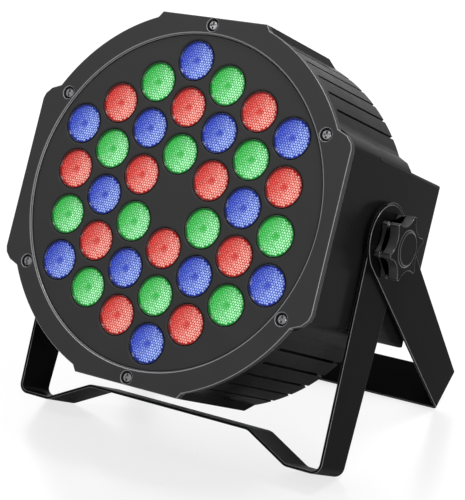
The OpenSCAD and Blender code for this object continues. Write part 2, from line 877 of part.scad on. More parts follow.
module power_inlet_blades() {
    color("#c8c8c8") in_head() translate([inlet_x, 0, inlet_z])
        for (p = inlet_blades) translate([p[0], 0, p[1]])
            slab(box_depth - inlet_len - 6, box_depth - 2) square([2, 4], center = true);
}

module data_shell() {
    slab(box_depth, box_depth + flat_t) round_rect(data_flange_w, data_flange_h, 3);
    rod(0, 0, box_depth - data_len, box_depth, data_d / 2);
}

module data_screw_holes() {
    for (s = [-1, 1]) rod(s * data_screw[0], s * data_screw[1], box_depth - cut, box_depth + flat_t + cut,
        screw_r + slip);
}

// Data input: an open shell with three pins
module data_in_socket() {
    color("#242424") in_head() translate([data_x[0], 0, data_z]) difference() {
        data_shell();
        rod(0, 0, box_depth - data_len + 3, box_depth + flat_t + cut, data_cavity_r);
        translate([0, 0, data_cavity_r]) slab(box_depth - data_len + 3, box_depth + flat_t + cut)
            square([3.5, 3], center = true);
        data_screw_holes();
        for (p = data_pins) rod(p[0], p[1], box_depth - data_len - cut, box_depth, 1.22);
    }
}

module data_in_pins() {
    color("#c8b878") in_head() translate([data_x[0], 0, data_z]) for (p = data_pins) {
        rod(p[0], p[1], box_depth - data_len - 4, box_depth - 3, 1.2);
        rod(p[0], p[1], box_depth - 3, box_depth - 2, 1.2, 0.6);
    }
}

// Data output: a filled shell with three sleeves and a latch at the top
module data_out_socket() {
    color("#242424") in_head() translate([data_x[1], 0, data_z]) difference() {
        data_shell();
        slab(box_depth - 12, box_depth + flat_t + cut) difference() {
            circle(r = data_cavity_r + 1.8, $fn = 64);
            circle(r = data_cavity_r - 0.2, $fn = 64);
        }
        for (p = data_pins) rod(p[0], p[1], box_depth - 14, box_depth + flat_t + cut, 1.5);
        data_screw_holes();
        translate([0, 0, latch_z]) slab(latch_y, box_depth + flat_t + cut)
            square([latch_w + slip, latch_h + slip], center = true);
    }
}

module data_out_latch() {
    color("#b0b0b0") in_head() translate([data_x[1], 0, data_z + latch_z])
        slab(latch_y, box_depth + flat_t + latch_proud) square([latch_w, latch_h], center = true);
}

module at_socket_screws() {
    for (x = data_x, s = [-1, 1])
        translate([x + s * data_screw[0], 0, data_z + s * data_screw[1]]) children();
    for (s = [-1, 1]) translate([inlet_x + s * inlet_screw_x, 0, inlet_z]) children();
}

module socket_screws() {
    color("#8c8c8c") in_head() at_socket_screws() from_behind(box_depth + flat_t + socket_head_t)
        pan_screw(0, board_head_r, socket_head_t, socket_screw_r, socket_screw_len, socket_head_t);
}

// ---------------------------------------------------------------- brackets

function unit(v) = v / norm(v);
function left_of(v) = [-v[1], v[0]];

// The arc that rounds the corner p between a and b
function corner_arc(a, p, b, r, n) =
    let (u = unit(a - p), v = unit(b - p), half = acos(u * v) / 2,
        c = p + unit(u + v) * r / sin(half),
        s = p + u * r / tan(half) - c, e = p + v * r / tan(half) - c,
        a0 = atan2(s[1], s[0]), sweep = (atan2(e[1], e[0]) - a0 + 540) % 360 - 180)
    [for (i = [0:n]) c + r * [cos(a0 + sweep * i / n), sin(a0 + sweep * i / n)]];

function round_path(path, radii, n = 8) = concat([path[0]],
    [for (i = [1:len(path) - 2]) each corner_arc(path[i - 1], path[i], path[i + 1], radii[i - 1], n)],
    [path[len(path) - 1]]);

function heading(path, i) = let (k = len(path) - 1)
    unit(unit(path[min(i + 1, k)] - path[min(i, k - 1)]) + unit(path[max(i, 1)] - path[max(i - 1, 0)]));

// A bent strip: the path is its outer face and t its thickness, to the left of the path
function strip(path, t) = concat(path,
    [for (i = [len(path) - 1:-1:0]) path[i] + t * left_of(heading(path, i))]);

// A leg: round past the pivot, tapering down to the bar's width
module leg(x_out, end_r, half, bottom) {
    difference() {
        across(x_out - strip_t, x_out) {
            translate([0, end_over]) circle(r = end_r);
            polygon([[-end_r, end_over], [-half, -bottom], [half, -bottom], [end_r, end_over]]);
        }
        cross_rod(x_out - strip_t - cut, x_out + cut, bore_r + 0.02);
    }
}

module clamp_hole(z) {
    translate([0, 0, z - strip_t - cut]) cylinder(h = 2 * strip_t + 2 * cut, d = clamp_d);
}

// Front bracket: round bends, a short foot at each end and a raised bar between them
module front_bracket() {
    leg_end = front_len - front_bend - 1;
    bar = -front_len + front_rise;
    path = round_path([
        [-front_out, -leg_end], [-front_out, -front_len], [-front_foot_x, -front_len],
        [-front_bar_half, bar], [front_bar_half, bar], [front_foot_x, -front_len],
        [front_out, -front_len], [front_out, -leg_end]
    ], [front_bend, joggle_bend, joggle_bend, joggle_bend, joggle_bend, front_bend]);
    color("#222222") in_bracket(-head_tilt) difference() {
        union() {
            both_sides() leg(front_out, front_end_r, front_half, leg_end);
            slab(-front_half, front_half) polygon(strip(path, strip_t));
        }
        clamp_hole(bar + strip_t);
    }
}

// Rear bracket: a plain U with sharp bends
module rear_bracket() {
    leg_end = rear_len - rear_bend - 1;
    path = round_path([
        [-rear_out, -leg_end], [-rear_out, -rear_len], [rear_out, -rear_len], [rear_out, -leg_end]
    ], [rear_bend, rear_bend]);
    color("#222222") in_bracket(rear_lean) difference() {
        union() {
            both_sides() leg(rear_out, rear_end_r, rear_half, leg_end);
            slab(-rear_half, rear_half) polygon(strip(path, strip_t));
        }
        clamp_hole(-rear_len + strip_t);
    }
}

// ---------------------------------------------------------------- knobs

// A knob's outline: a circle with a wide scallop between each two lobes
module lobes(r) {
    valley_r = r * 0.71;
    scallop_r = r * 0.59;
    difference() {
        circle(r = r);
        for (i = [0:knob_lobes - 1]) rotate((i + 0.5) * 360 / knob_lobes)
            translate([valley_r + scallop_r, 0]) circle(r = scallop_r);
    }
}

// A hand knob: two lobed tiers with a groove between them, a raised cap and a washer pocket
module knob() {
    collar = knob_t * 0.33;
    groove = 1;
    lip = 0.8;
    cap_r = knob_r * 0.56;
    difference() {
        union() {
            across(knob_x + face_gap, knob_x + collar) rotate(knob_turn) lobes(knob_r);
            across(knob_x + collar, knob_x + collar + groove) rotate(knob_turn) lobes(knob_r - 1);
            across(knob_x + collar + groove, knob_face - lip) rotate(knob_turn) lobes(knob_r);
            translate([knob_face - lip, 0, 0]) rotate([0, 90, 0]) cylinder(h = lip, r1 = cap_r, r2 = cap_r - lip);
        }
        cross_rod(knob_x - cut, knob_x + washer_t + face_gap, washer_d / 2 + slip);
        cross_rod(knob_x - cut, stud_out + 0.02, stud_r + 0.02);
    }
}

module at_pivot() { in_head() translate([0, pivot_depth, pivot_up]) children(); }

module stud() { cross_rod(stud_in, stud_out, stud_r); }

module washer() {
    difference() {
        cross_rod(knob_x, knob_x + washer_t, washer_d / 2);
        cross_rod(knob_x - cut, knob_x + washer_t + cut, bore_r + bore_gap);
    }
}

module knob_right() { color("#1e1e1e") at_pivot() knob(); }
module knob_left() { color("#1e1e1e") at_pivot() mirror([1, 0, 0]) knob(); }
module stud_right() { color("#a8a8a8") at_pivot() stud(); }
module stud_left() { color("#a8a8a8") at_pivot() mirror([1, 0, 0]) stud(); }
module washer_right() { color("#a8a8a8") at_pivot() washer(); }
module washer_left() { color("#a8a8a8") at_pivot() mirror([1, 0, 0]) washer(); }

bezel();
bezel_screws();
lens_panel();
lenses_red();
lenses_green();
lenses_blue();
lens_cups();
led_chips();
led_board();
heat_sink();
heat_sink_screws();
housing();
thread_inserts();
driver_board();
driver_parts();
driver_screws();
fan_frame();
fan_rotor();
fan_screws();
control_board();
control_screws();
display_digits();
display_window();
button_switches();
microphone();
menu_button();
down_button();
up_button();
enter_button();
power_inlet();
power_inlet_blades();
data_in_socket();
data_in_pins();
data_out_socket();
data_out_latch();
socket_screws();
front_bracket();
rear_bracket();
washer_left();
washer_right();
stud_left();
stud_right();
knob_left();
knob_right();
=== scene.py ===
"""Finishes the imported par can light: its moulded, bent and plated surfaces, its honeycomb lenses
and the plain studio that it stands in. Everything is in metres, in the frame of the CAD model."""

import json
import math

import bmesh
import bpy
from bpy.props import FloatProperty, FloatVectorProperty, IntProperty, PointerProperty
from mathutils import Matrix, Quaternion, Vector


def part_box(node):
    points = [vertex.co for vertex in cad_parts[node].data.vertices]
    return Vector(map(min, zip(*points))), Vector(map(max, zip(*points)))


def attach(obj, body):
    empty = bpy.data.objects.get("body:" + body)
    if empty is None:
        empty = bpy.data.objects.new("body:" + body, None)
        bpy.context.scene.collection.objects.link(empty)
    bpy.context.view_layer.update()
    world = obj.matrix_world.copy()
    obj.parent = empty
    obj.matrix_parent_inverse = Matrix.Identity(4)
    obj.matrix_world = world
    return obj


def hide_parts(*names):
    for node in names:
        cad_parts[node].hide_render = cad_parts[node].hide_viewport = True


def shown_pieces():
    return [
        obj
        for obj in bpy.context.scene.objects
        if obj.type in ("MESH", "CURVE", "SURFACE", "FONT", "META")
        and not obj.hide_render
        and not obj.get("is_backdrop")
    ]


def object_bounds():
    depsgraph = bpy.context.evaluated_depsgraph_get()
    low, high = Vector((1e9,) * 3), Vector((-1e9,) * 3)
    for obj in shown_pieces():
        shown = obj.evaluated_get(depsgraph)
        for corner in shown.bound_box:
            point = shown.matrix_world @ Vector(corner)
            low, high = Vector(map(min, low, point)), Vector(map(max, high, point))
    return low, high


bl_info = {
    "name": "Par can light",
    "version": (1, 0, 0),
    "blender": (4, 5, 0),
    "location": "View3D > Sidebar > Par light",
    "description": "Finishes a flat LED par light on two folding brackets",
    "category": "Add Mesh",
}

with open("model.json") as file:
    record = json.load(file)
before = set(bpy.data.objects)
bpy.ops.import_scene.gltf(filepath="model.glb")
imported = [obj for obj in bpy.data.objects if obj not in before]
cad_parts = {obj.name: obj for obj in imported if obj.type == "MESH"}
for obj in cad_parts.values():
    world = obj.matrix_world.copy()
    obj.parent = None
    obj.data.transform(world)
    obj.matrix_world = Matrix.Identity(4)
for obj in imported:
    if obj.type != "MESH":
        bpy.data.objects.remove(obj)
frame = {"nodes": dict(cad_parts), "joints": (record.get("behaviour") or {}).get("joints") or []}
CAD_LOW, CAD_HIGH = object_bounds()
MM = 0.001

WELD = 0.002 * MM            # two corners nearer than this are one corner
FLAT = math.radians(0.4)     # faces that turn less than this are one flat face
SHARP = math.radians(32)     # edges that turn more than this are rounded
SENSOR = 36.0                # width of the camera's sensor, in millimetres

# Each lamp's place, then its width and height, in metres
LAMPS = {
    "key": ((0.4, 0.15, 1.25), (0.35, 0.35)),
    "side": ((1.15, -0.62, 0.36), (0.3, 0.7)),
    "fill": ((-0.64, -0.68, 1.09), (0.35, 0.35)),
}

# The photograph's frame, and the points of it that settle the camera and the finished pieces
FRAME_W, FRAME_H = 465, 500
EDGES_IN_PHOTO = {"left": 7.3, "right": 455.5, "top": 12.3, "bottom": 476.0}
POINTS_IN_PHOTO = {
    "lens_top": (197.2, 61.2),
    "lens_upper_right": (292.7, 137.2),
    "lens_lower_right": (266.1, 285.8),
    "lens_bottom": (144.5, 344.1),
    "lens_lower_left": (60.1, 257.8),
    "lens_upper_left": (86.0, 124.0),
    "screw_top": (213.6, 27.0),
    "screw_upper_right": (326.3, 134.8),
    "screw_lower_right": (281.7, 319.6),
    "screw_bottom": (128.8, 375.5),
    "screw_lower_left": (26.5, 261.5),
    "screw_upper_left": (68.5, 90.5),
    "knob_face": (406.8, 249.7),
}


def linear(code):
    """Turns an sRGB hex value, such as "#3c3c3c", into linear red, green, blue and alpha."""
    parts = [int(code[i:i + 2], 16) / 255 for i in (1, 3, 5)]
    return (*[c / 12.92 if c <= 0.04045 else ((c + 0.055) / 1.055) ** 2.4 for c in parts], 1.0)


def joint(name):
    """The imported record's entry for one joint."""
    return next(j for j in frame["joints"] if j["name"] == name)


# The head's own axes: depth runs back from the bezel's face, up runs up that face
DEPTH = Vector(joint("fan_spin")["axis"]).normalized()
ACROSS = Vector((1.0, 0.0, 0.0))
UP = ACROSS.cross(DEPTH)
PIVOT = Vector(joint("front_bracket_swing")["pos_m"])


# ---------------------------------------------------------------- sizes and colours to set


class StudioSettings(bpy.types.PropertyGroup):
    """The camera, the lamps and the floor."""

    camera_place: FloatVectorProperty(
        name="Camera place", description="Where the camera stands", subtype="XYZ",
        unit="LENGTH", default=(0.493979, -0.709782, 0.40466))
    camera_aim: FloatVectorProperty(
        name="Camera aim", description="The point that the camera looks at", subtype="XYZ",
        unit="LENGTH", default=(0.008572, 0.000491, 0.093092))
    camera_roll: FloatProperty(
        name="Camera roll", description="Turn of the camera about its own line of sight",
        subtype="ANGLE", default=math.radians(-1.184))
    camera_lens: FloatProperty(
        name="Focal length", description="Focal length on a 36 mm wide sensor",
        default=128.33, min=20.0, max=300.0)
    floor_size: FloatProperty(
        name="Floor size", description="Side of the square floor", unit="LENGTH", default=12.0)
    key_watts: FloatProperty(
        name="Key lamp", description="Power of the soft lamp overhead", default=9.0, min=0.0)
    side_watts: FloatProperty(
        name="Side lamp", description="Power of the soft lamp on the right", default=8.0, min=0.0)
    fill_watts: FloatProperty(
        name="Fill lamp", description="Power of the soft lamp on the left", default=5.0, min=0.0)
    sky_light: FloatProperty(
        name="Room light", description="Strength of the even light from all round",
        default=0.55, min=0.0)


class EdgeSettings(bpy.types.PropertyGroup):
    """How far each kind of edge is rounded."""

    moulded: FloatProperty(
        name="Moulded edges", description="Rounding of the bezel's and the housing's edges",
        unit="LENGTH", default=0.3 * MM, min=0.0)
    bent: FloatProperty(
        name="Bracket edges", description="Rounding of the painted brackets' edges",
        unit="LENGTH", default=0.3 * MM, min=0.0)
    knob: FloatProperty(
        name="Knob edges", description="Rounding of the knobs' lobes and cap",
        unit="LENGTH", default=0.55 * MM, min=0.0)
    small: FloatProperty(
        name="Small edges", description="Rounding of screws, sockets and buttons",
        unit="LENGTH", default=0.12 * MM, min=0.0)
    segments: IntProperty(
        name="Segments", description="Faces across each rounded edge", default=3, min=1, max=6)


class LensSettings(bpy.types.PropertyGroup):
    """The body of each lens and the honeycomb on it."""

    dish: FloatProperty(
        name="Dish", description="How deep the honeycomb lies behind the rim's front",
        unit="LENGTH", default=1.1 * MM)
    rim: FloatProperty(
        name="Rim", description="Width of the plain rim round the honeycomb",
        unit="LENGTH", default=0.5 * MM)
    flange: FloatProperty(
        name="Flange", description="Depth of the lens's flange, from its front",
        unit="LENGTH", default=1.6 * MM)
    stem: FloatProperty(
        name="Stem", description="Radius of the lens's small end, at the chip",
        unit="LENGTH", default=4.2 * MM)
    depth: FloatProperty(
        name="Depth", description="Length of the whole lens", unit="LENGTH", default=12 * MM)
    cell: FloatProperty(
        name="Cell width", description="Distance between the middles of two cells",
        unit="LENGTH", default=1.4 * MM)
    cell_rise: FloatProperty(
        name="Cell rise", description="How far a cell stands out of the lens",
        unit="LENGTH", default=0.2 * MM)
    gap: FloatProperty(
        name="Groove", description="Width of the groove between two cells",
        unit="LENGTH", default=0.12 * MM)


class FinishSettings(bpy.types.PropertyGroup):
    """Colours of the main surfaces."""

    bezel: FloatVectorProperty(
        name="Bezel", description="Charcoal moulded plastic", subtype="COLOR",
        default=linear("#2c2c2d")[:3])
    panel: FloatVectorProperty(
        name="Lens panel", description="Black moulded plastic", subtype="COLOR",
        default=linear("#2a2a2a")[:3])
    housing: FloatVectorProperty(
        name="Housing", description="Black moulded plastic", subtype="COLOR",
        default=linear("#151515")[:3])
    bracket: FloatVectorProperty(
        name="Brackets", description="Black powder coat", subtype="COLOR",
        default=linear("#0a0a0a")[:3])


# ---------------------------------------------------------------- small helpers


def add_node(tree, kind, links=None, values=None, **choices):
    """Adds one node with its own choices, its fixed inputs and the links into it."""
    made = tree.nodes.new(kind)
    for key, value in choices.items():
        setattr(made, key, value)
    for key, value in (values or {}).items():
        made.inputs[key].default_value = value
    for key, socket in (links or {}).items():
        tree.links.new(socket, made.inputs[key])
    return made


def new_material(name, **sockets):
    """A material with one Principled shader; sockets gives its fixed inputs, with _ for a space."""
    material = bpy.data.materials.new(name)
    material.use_nodes = True
    shader = material.node_tree.nodes["Principled BSDF"]
    for key, value in sockets.items():
        shader.inputs[key.replace("_", " ")].default_value = value
    return material, material.node_tree, shader


def dress(names, *materials):
    """Gives CAD nodes their material, then one for rounded edges and one for a knob's grip."""
    for name in names:
        slots = frame["nodes"][name].data.materials
        slots.clear()
        for material in materials:
            slots.append(material)


def smooth_sides(names):
    """Shows a knob's third material on the faces that run round its own axis, which is X."""
    tree = bpy.data.node_groups.new("sides round X", "GeometryNodeTree")
    for way in ("INPUT", "OUTPUT"):
        tree.interface.new_socket("Geometry", in_out=way, socket_type="NodeSocketGeometry")
    start = add_node(tree, "NodeGroupInput")
    facing = add_node(tree, "GeometryNodeInputNormal")
    parts = add_node(tree, "ShaderNodeSeparateXYZ", {"Vector": facing.outputs["Normal"]})
    along = add_node(tree, "ShaderNodeMath", {0: parts.outputs["X"]}, operation="ABSOLUTE")
    side = add_node(tree, "ShaderNodeMath", {0: along.outputs["Value"]}, {1: 0.3},
                    operation="LESS_THAN")
    paint = add_node(tree, "GeometryNodeSetMaterialIndex",
                     {"Geometry": start.outputs["Geometry"], "Selection": side.outputs["Value"]},
                     {"Material Index": 2})
    add_node(tree, "NodeGroupOutput", {"Geometry": paint.outputs["Geometry"]})
    for name in names:
        frame["nodes"][name].modifiers.new("smooth sides", "NODES").node_group = tree


def round_edges(names, width, segments, clamp=True):
    """Joins each CAD node's loose triangles into whole faces and rounds the edges between them,
    in the node's second material where it has one."""
    for name in names:
        target = frame["nodes"][name]
        weld = target.modifiers.new("join triangles", "WELD")
        weld.merge_threshold = WELD
        flat = target.modifiers.new("whole faces", "DECIMATE")
        flat.decimate_type = "DISSOLVE"
        flat.angle_limit = FLAT
        bevel = target.modifiers.new("rounded edges", "BEVEL")
        bevel.width = width
        bevel.segments = segments
        bevel.limit_method = "ANGLE"
        bevel.angle_limit = SHARP
        bevel.material = 1 if len(target.data.materials) > 1 else -1
        bevel.use_clamp_overlap = clamp
        target.data.shade_smooth()
        level = target.modifiers.new("even shading", "WEIGHTED_NORMAL")
        level.keep_sharp = True


def settings():
    """The add-on's settings, kept on the scene."""
    return bpy.context.scene.par_light


# ---------------------------------------------------------------- materials


def moulded_plastic(name, colour, grain, roughness, gloss):
    """Injection-moulded plastic from a spark-eroded mould: an even fine grain breaks up its gloss.
    Grain is the width at which that grain is drawn."""
    material, tree, shader = new_material(
        name, Base_Color=(*colour, 1.0), IOR=1.52, Roughness=roughness, Specular_IOR_Level=gloss)
    place = add_node(tree, "ShaderNodeTexCoord")
    cloud = add_node(tree, "ShaderNodeTexNoise", {"Vector": place.outputs["Object"]},
                     {"Scale": 1 / (18 * MM), "Detail": 3.0, "Roughness": 0.55})
    sheen = add_node(tree, "ShaderNodeMapRange", {"Value": cloud.outputs["Fac"]},
                     {"From Min": 0.3, "From Max": 0.7,
                      "To Min": roughness - 0.05, "To Max": roughness + 0.05})
    tree.links.new(sheen.outputs["Result"], shader.inputs["Roughness"])
    tone = add_node(tree, "ShaderNodeMix", {"Factor": cloud.outputs["Fac"]},
                    data_type="RGBA", blend_type="MIX")
    tone.inputs["A"].default_value = (*[c * 0.9 for c in colour], 1.0)
    tone.inputs["B"].default_value = (*[c * 1.12 for c in colour], 1.0)
    tree.links.new(tone.outputs["Result"], shader.inputs["Base Color"])
    # Real grain of about 0.3 mm is too fine for the render, so it is drawn at the width given
    skin = add_node(tree, "ShaderNodeTexNoise", {"Vector": place.outputs["Object"]},
                    {"Scale": 1 / grain, "Detail": 2.0, "Roughness": 0.6})
    bump = add_node(tree, "ShaderNodeBump", {"Height": skin.outputs["Fac"]},
                    {"Strength": 0.5, "Distance": 0.02 * MM})
    tree.links.new(bump.outputs["Normal"], shader.inputs["Normal"])
    return material


def powder_coat(name, colour, gloss):
    """Satin powder coat on steel: orange-peel ripples about a millimetre wide."""
    material, tree, shader = new_material(
        name, Base_Color=(*colour, 1.0), IOR=1.5, Roughness=0.3, Specular_IOR_Level=gloss)
    place = add_node(tree, "ShaderNodeTexCoord")
    peel = add_node(tree, "ShaderNodeTexNoise", {"Vector": place.outputs["Object"]},
                    {"Scale": 1 / (1.1 * MM), "Detail": 1.5, "Roughness": 0.5})
    dust = add_node(tree, "ShaderNodeTexNoise", {"Vector": place.outputs["Object"]},
                    {"Scale": 1 / (26 * MM), "Detail": 4.0, "Roughness": 0.6})
    sheen = add_node(tree, "ShaderNodeMapRange", {"Value": dust.outputs["Fac"]},
                     {"From Min": 0.3, "From Max": 0.7, "To Min": 0.26, "To Max": 0.36})
    tree.links.new(sheen.outputs["Result"], shader.inputs["Roughness"])
    bump = add_node(tree, "ShaderNodeBump", {"Height": peel.outputs["Fac"]},
                    {"Strength": 0.6, "Distance": 0.03 * MM})
    tree.links.new(bump.outputs["Normal"], shader.inputs["Normal"])
    return material


def plated_steel(name, code, roughness, blotch):
    """Zinc or nickel plating on steel: a soft metal gloss with faint patches as wide as blotch."""
    material, tree, shader = new_material(
        name, Base_Color=linear(code), Metallic=1.0, Roughness=roughness)
    place = add_node(tree, "ShaderNodeTexCoord")
    cloud = add_node(tree, "ShaderNodeTexNoise", {"Vector": place.outputs["Object"]},
                     {"Scale": 1 / blotch, "Detail": 3.0, "Roughness": 0.6})
    sheen = add_node(tree, "ShaderNodeMapRange", {"Value": cloud.outputs["Fac"]},
                     {"From Min": 0.3, "From Max": 0.7,
                      "To Min": roughness * 0.7, "To Max": roughness * 1.3})
    tree.links.new(sheen.outputs["Result"], shader.inputs["Roughness"])
    bump = add_node(tree, "ShaderNodeBump", {"Height": cloud.outputs["Fac"]},
                    {"Strength": 0.3, "Distance": 0.01 * MM})
    tree.links.new(bump.outputs["Normal"], shader.inputs["Normal"])
    return material


def lens_acrylic(name, deep, painted_highlight, rim, radius):
    """Tinted acrylic moulded with a honeycomb: each cell's top gets a painted highlight in a light
    colour, the grooves keep the full colour, painted shade darkens the plain rim, and the middle,
    where the chip lies, gets fewer painted highlights."""
    material, tree, shader = new_material(
        name, Base_Color=linear(deep), IOR=1.49, Roughness=0.18, Specular_IOR_Level=0.3)
    rise = add_node(tree, "ShaderNodeAttribute", attribute_name="rise")
    place = add_node(tree, "ShaderNodeUVMap", uv_map="lens")
    out = add_node(tree, "ShaderNodeVectorMath", {0: place.outputs["UV"]}, operation="LENGTH")
    # The lens's own map is in millimetres from its middle
    # Painted highlight: fewer of the light cell tops in the middle, where the chip lies
    chip = add_node(tree, "ShaderNodeMapRange", {"Value": out.outputs["Value"]},
                    {"From Min": 0.9, "From Max": 3.0, "To Min": 0.25, "To Max": 1.0},
                    interpolation_type="SMOOTHSTEP")
    # Painted shade: the plain rim round the honeycomb takes the dark rim colour, standing in for the
    # shadow in the gap round the lens
    edge = add_node(tree, "ShaderNodeMapRange", {"Value": out.outputs["Value"]},
                    {"From Min": radius / MM - 0.95, "From Max": radius / MM - 0.5,
                     "To Min": 1.0, "To Max": 0.0},
                    interpolation_type="SMOOTHSTEP")
    # Painted glints: a noise cloud about 2 mm wide makes the painted highlight stronger on some cells
    # than on others
    noise = add_node(tree, "ShaderNodeTexNoise", {"Vector": place.outputs["UV"]},
                     {"Scale": 0.55, "Detail": 1.0, "Roughness": 0.5})
    spark = add_node(tree, "ShaderNodeMapRange", {"Value": noise.outputs["Fac"]},
                     {"From Min": 0.35, "From Max": 0.65, "To Min": 0.45, "To Max": 1.0})
    # Painted highlight: the cells' light colour grows stronger towards the right of every lens
    aside = add_node(tree, "ShaderNodeVectorMath", {0: place.outputs["UV"]},
                     {1: (0.9, -0.43, 0.0)}, operation="DOT_PRODUCT")
    right_highlight = add_node(tree, "ShaderNodeMapRange", {"Value": aside.outputs["Value"]},
                    {"From Min": -8.0, "From Max": 6.0, "To Min": 0.15, "To Max": 1.25},
                    interpolation_type="SMOOTHSTEP")
    spark = add_node(tree, "ShaderNodeMath",
                     {0: spark.outputs["Result"], 1: right_highlight.outputs["Result"]},
                     operation="MULTIPLY", use_clamp=True)
    # Painted highlight: how much of the light colour each cell top takes
    lit = add_node(tree, "ShaderNodeMath",
                   {0: rise.outputs["Fac"], 1: chip.outputs["Result"]}, operation="MULTIPLY")
    lit = add_node(tree, "ShaderNodeMath",
                   {0: lit.outputs["Value"], 1: spark.outputs["Value"]}, operation="MULTIPLY")
    face = add_node(tree, "ShaderNodeMix", {"Factor": lit.outputs["Value"]},
                    data_type="RGBA", blend_type="MIX")
    face.inputs["A"].default_value = linear(deep)
    face.inputs["B"].default_value = linear(painted_highlight)
    whole = add_node(tree, "ShaderNodeMix", {"Factor": edge.outputs["Result"],
                                             "B": face.outputs["Result"]},
                     data_type="RGBA", blend_type="MIX")
    whole.inputs["A"].default_value = linear(rim)
    tree.links.new(whole.outputs["Result"], shader.inputs["Base Color"])
    return material


def plain_plastic(name, code, roughness, ripple):
    """Small moulded or laminated part: one colour, with clouds in it and in its gloss that are as
    wide as ripple."""
    material, tree, shader = new_material(
        name, Base_Color=linear(code), IOR=1.5, Roughness=roughness)
    place = add_node(tree, "ShaderNodeTexCoord")
    cloud = add_node(tree, "ShaderNodeTexNoise", {"Vector": place.outputs["Object"]},
                     {"Scale": 1 / ripple, "Detail": 3.0, "Roughness": 0.6})
    tone = add_node(tree, "ShaderNodeMix", {"Factor": cloud.outputs["Fac"]},
                    data_type="RGBA", blend_type="MIX")
    tone.inputs["A"].default_value = (*[c * 0.85 for c in linear(code)[:3]], 1.0)
    tone.inputs["B"].default_value = (*[c * 1.15 for c in linear(code)[:3]], 1.0)
    tree.links.new(tone.outputs["Result"], shader.inputs["Base Color"])
    sheen = add_node(tree, "ShaderNodeMapRange", {"Value": cloud.outputs["Fac"]},
                     {"From Min": 0.3, "From Max": 0.7,
                      "To Min": roughness * 0.85, "To Max": roughness * 1.15})
    tree.links.new(sheen.outputs["Result"], shader.inputs["Roughness"])
    return material


def smoked_window(name):
    """Dark red acrylic window: the digits behind it only just show."""
    material, tree, shader = new_material(
        name, Base_Color=linear("#5a0f0f"), IOR=1.49, Roughness=0.04, Transmission_Weight=0.85)
    place = add_node(tree, "ShaderNodeTexCoord")
    wave = add_node(tree, "ShaderNodeTexNoise", {"Vector": place.outputs["Object"]},
                    {"Scale": 1 / (9 * MM), "Detail": 1.0})
    sheen = add_node(tree, "ShaderNodeMapRange", {"Value": wave.outputs["Fac"]},
                     {"To Min": 0.02, "To Max": 0.08})
    tree.links.new(sheen.outputs["Result"], shader.inputs["Roughness"])
    return material


# ---------------------------------------------------------------- lenses


def front_middles(node):
    """The middle of each solid of a CAD node, such as a lens or a screw, at its front."""
    solids = bmesh.new()
    solids.from_mesh(frame["nodes"][node].data)
    bmesh.ops.remove_doubles(solids, verts=solids.verts, dist=WELD)
    waiting = set(solids.verts)
    middles = []
    while waiting:
        group, edge = set(), {waiting.pop()}
        while edge:
            group |= edge
            edge = {e.other_vert(v) for v in edge for e in v.link_edges} - group
        waiting -= group
        front = min(v.co.dot(DEPTH) for v in group)
        across = [v.co.dot(ACROSS) for v in group]
        up = [v.co.dot(UP) for v in group]
        middles.append(ACROSS * (min(across) + max(across)) / 2
                       + UP * (min(up) + max(up)) / 2 + DEPTH * front)
    solids.free()
    return middles


def lens_shape(radius):
    """One lens as a mesh: a spun body with a dished face that carries the honeycomb. Z points out
    of the face, which lies at the origin."""
    lens = bmesh.new()
    size = settings().lenses
    round_over = 0.12 * MM       # rounding of the rim's outer edge
    slope = 0.42                 # share of a cell that its sloping sides take
    margin = 0.55                # share of a cell's width that stays clear of the rim
    bottom = radius - size.rim   # where the dish's wall meets its bottom
    profile = [(0.0, -size.dish), (bottom, -size.dish), (bottom + 0.1 * MM, -0.2 * MM),
               (bottom + 0.2 * MM, 0.0), (radius - round_over, 0.0), (radius, -round_over),
               (radius, -size.flange), (radius - MM, -size.flange), (size.stem, -size.depth),
               (0.0, -size.depth)]
    chain = [lens.verts.new((x, 0.0, z)) for x, z in profile]
    edges = [lens.edges.new(pair) for pair in zip(chain, chain[1:])]
    bmesh.ops.spin(lens, geom=chain + edges, axis=(0, 0, 1), cent=(0, 0, 0),
                   angle=math.tau, steps=48, use_merge=True)
    bmesh.ops.remove_doubles(lens, verts=lens.verts, dist=0.005 * MM)
    bmesh.ops.recalc_face_normals(lens, faces=lens.faces)
    rise = lens.verts.layers.float.new("rise")
    tile = (size.cell - size.gap) / math.sqrt(3)
    reach = int(radius / size.cell) + 2
    for row in range(-reach, reach + 1):
        for column in range(-reach, reach + 1):
            x = (column + row / 2) * size.cell
            y = row * size.cell * math.sqrt(3) / 2
            if math.hypot(x, y) > bottom - size.cell * margin:
                continue
            turn = Matrix.Translation((x, y, -size.dish)) @ Matrix.Rotation(math.pi / 6, 4, "Z")
            ring = bmesh.ops.create_circle(lens, cap_ends=True, segments=6, radius=tile,
                                           matrix=turn)
            top = ring["verts"][0].link_faces[:]
            for face in top:
                if face.normal.z < 0:
                    face.normal_flip()
            bmesh.ops.inset_individual(lens, faces=top, thickness=tile * slope,
                                       depth=size.cell_rise)
            for face in top:
                for vert in face.verts:
                    vert[rise] = 1.0
    layer = lens.loops.layers.uv.new("lens")
    for face in lens.faces:
        face.smooth = True
        for loop in face.loops:
            loop[layer].uv = (loop.vert.co.x / MM, loop.vert.co.y / MM)
    return lens


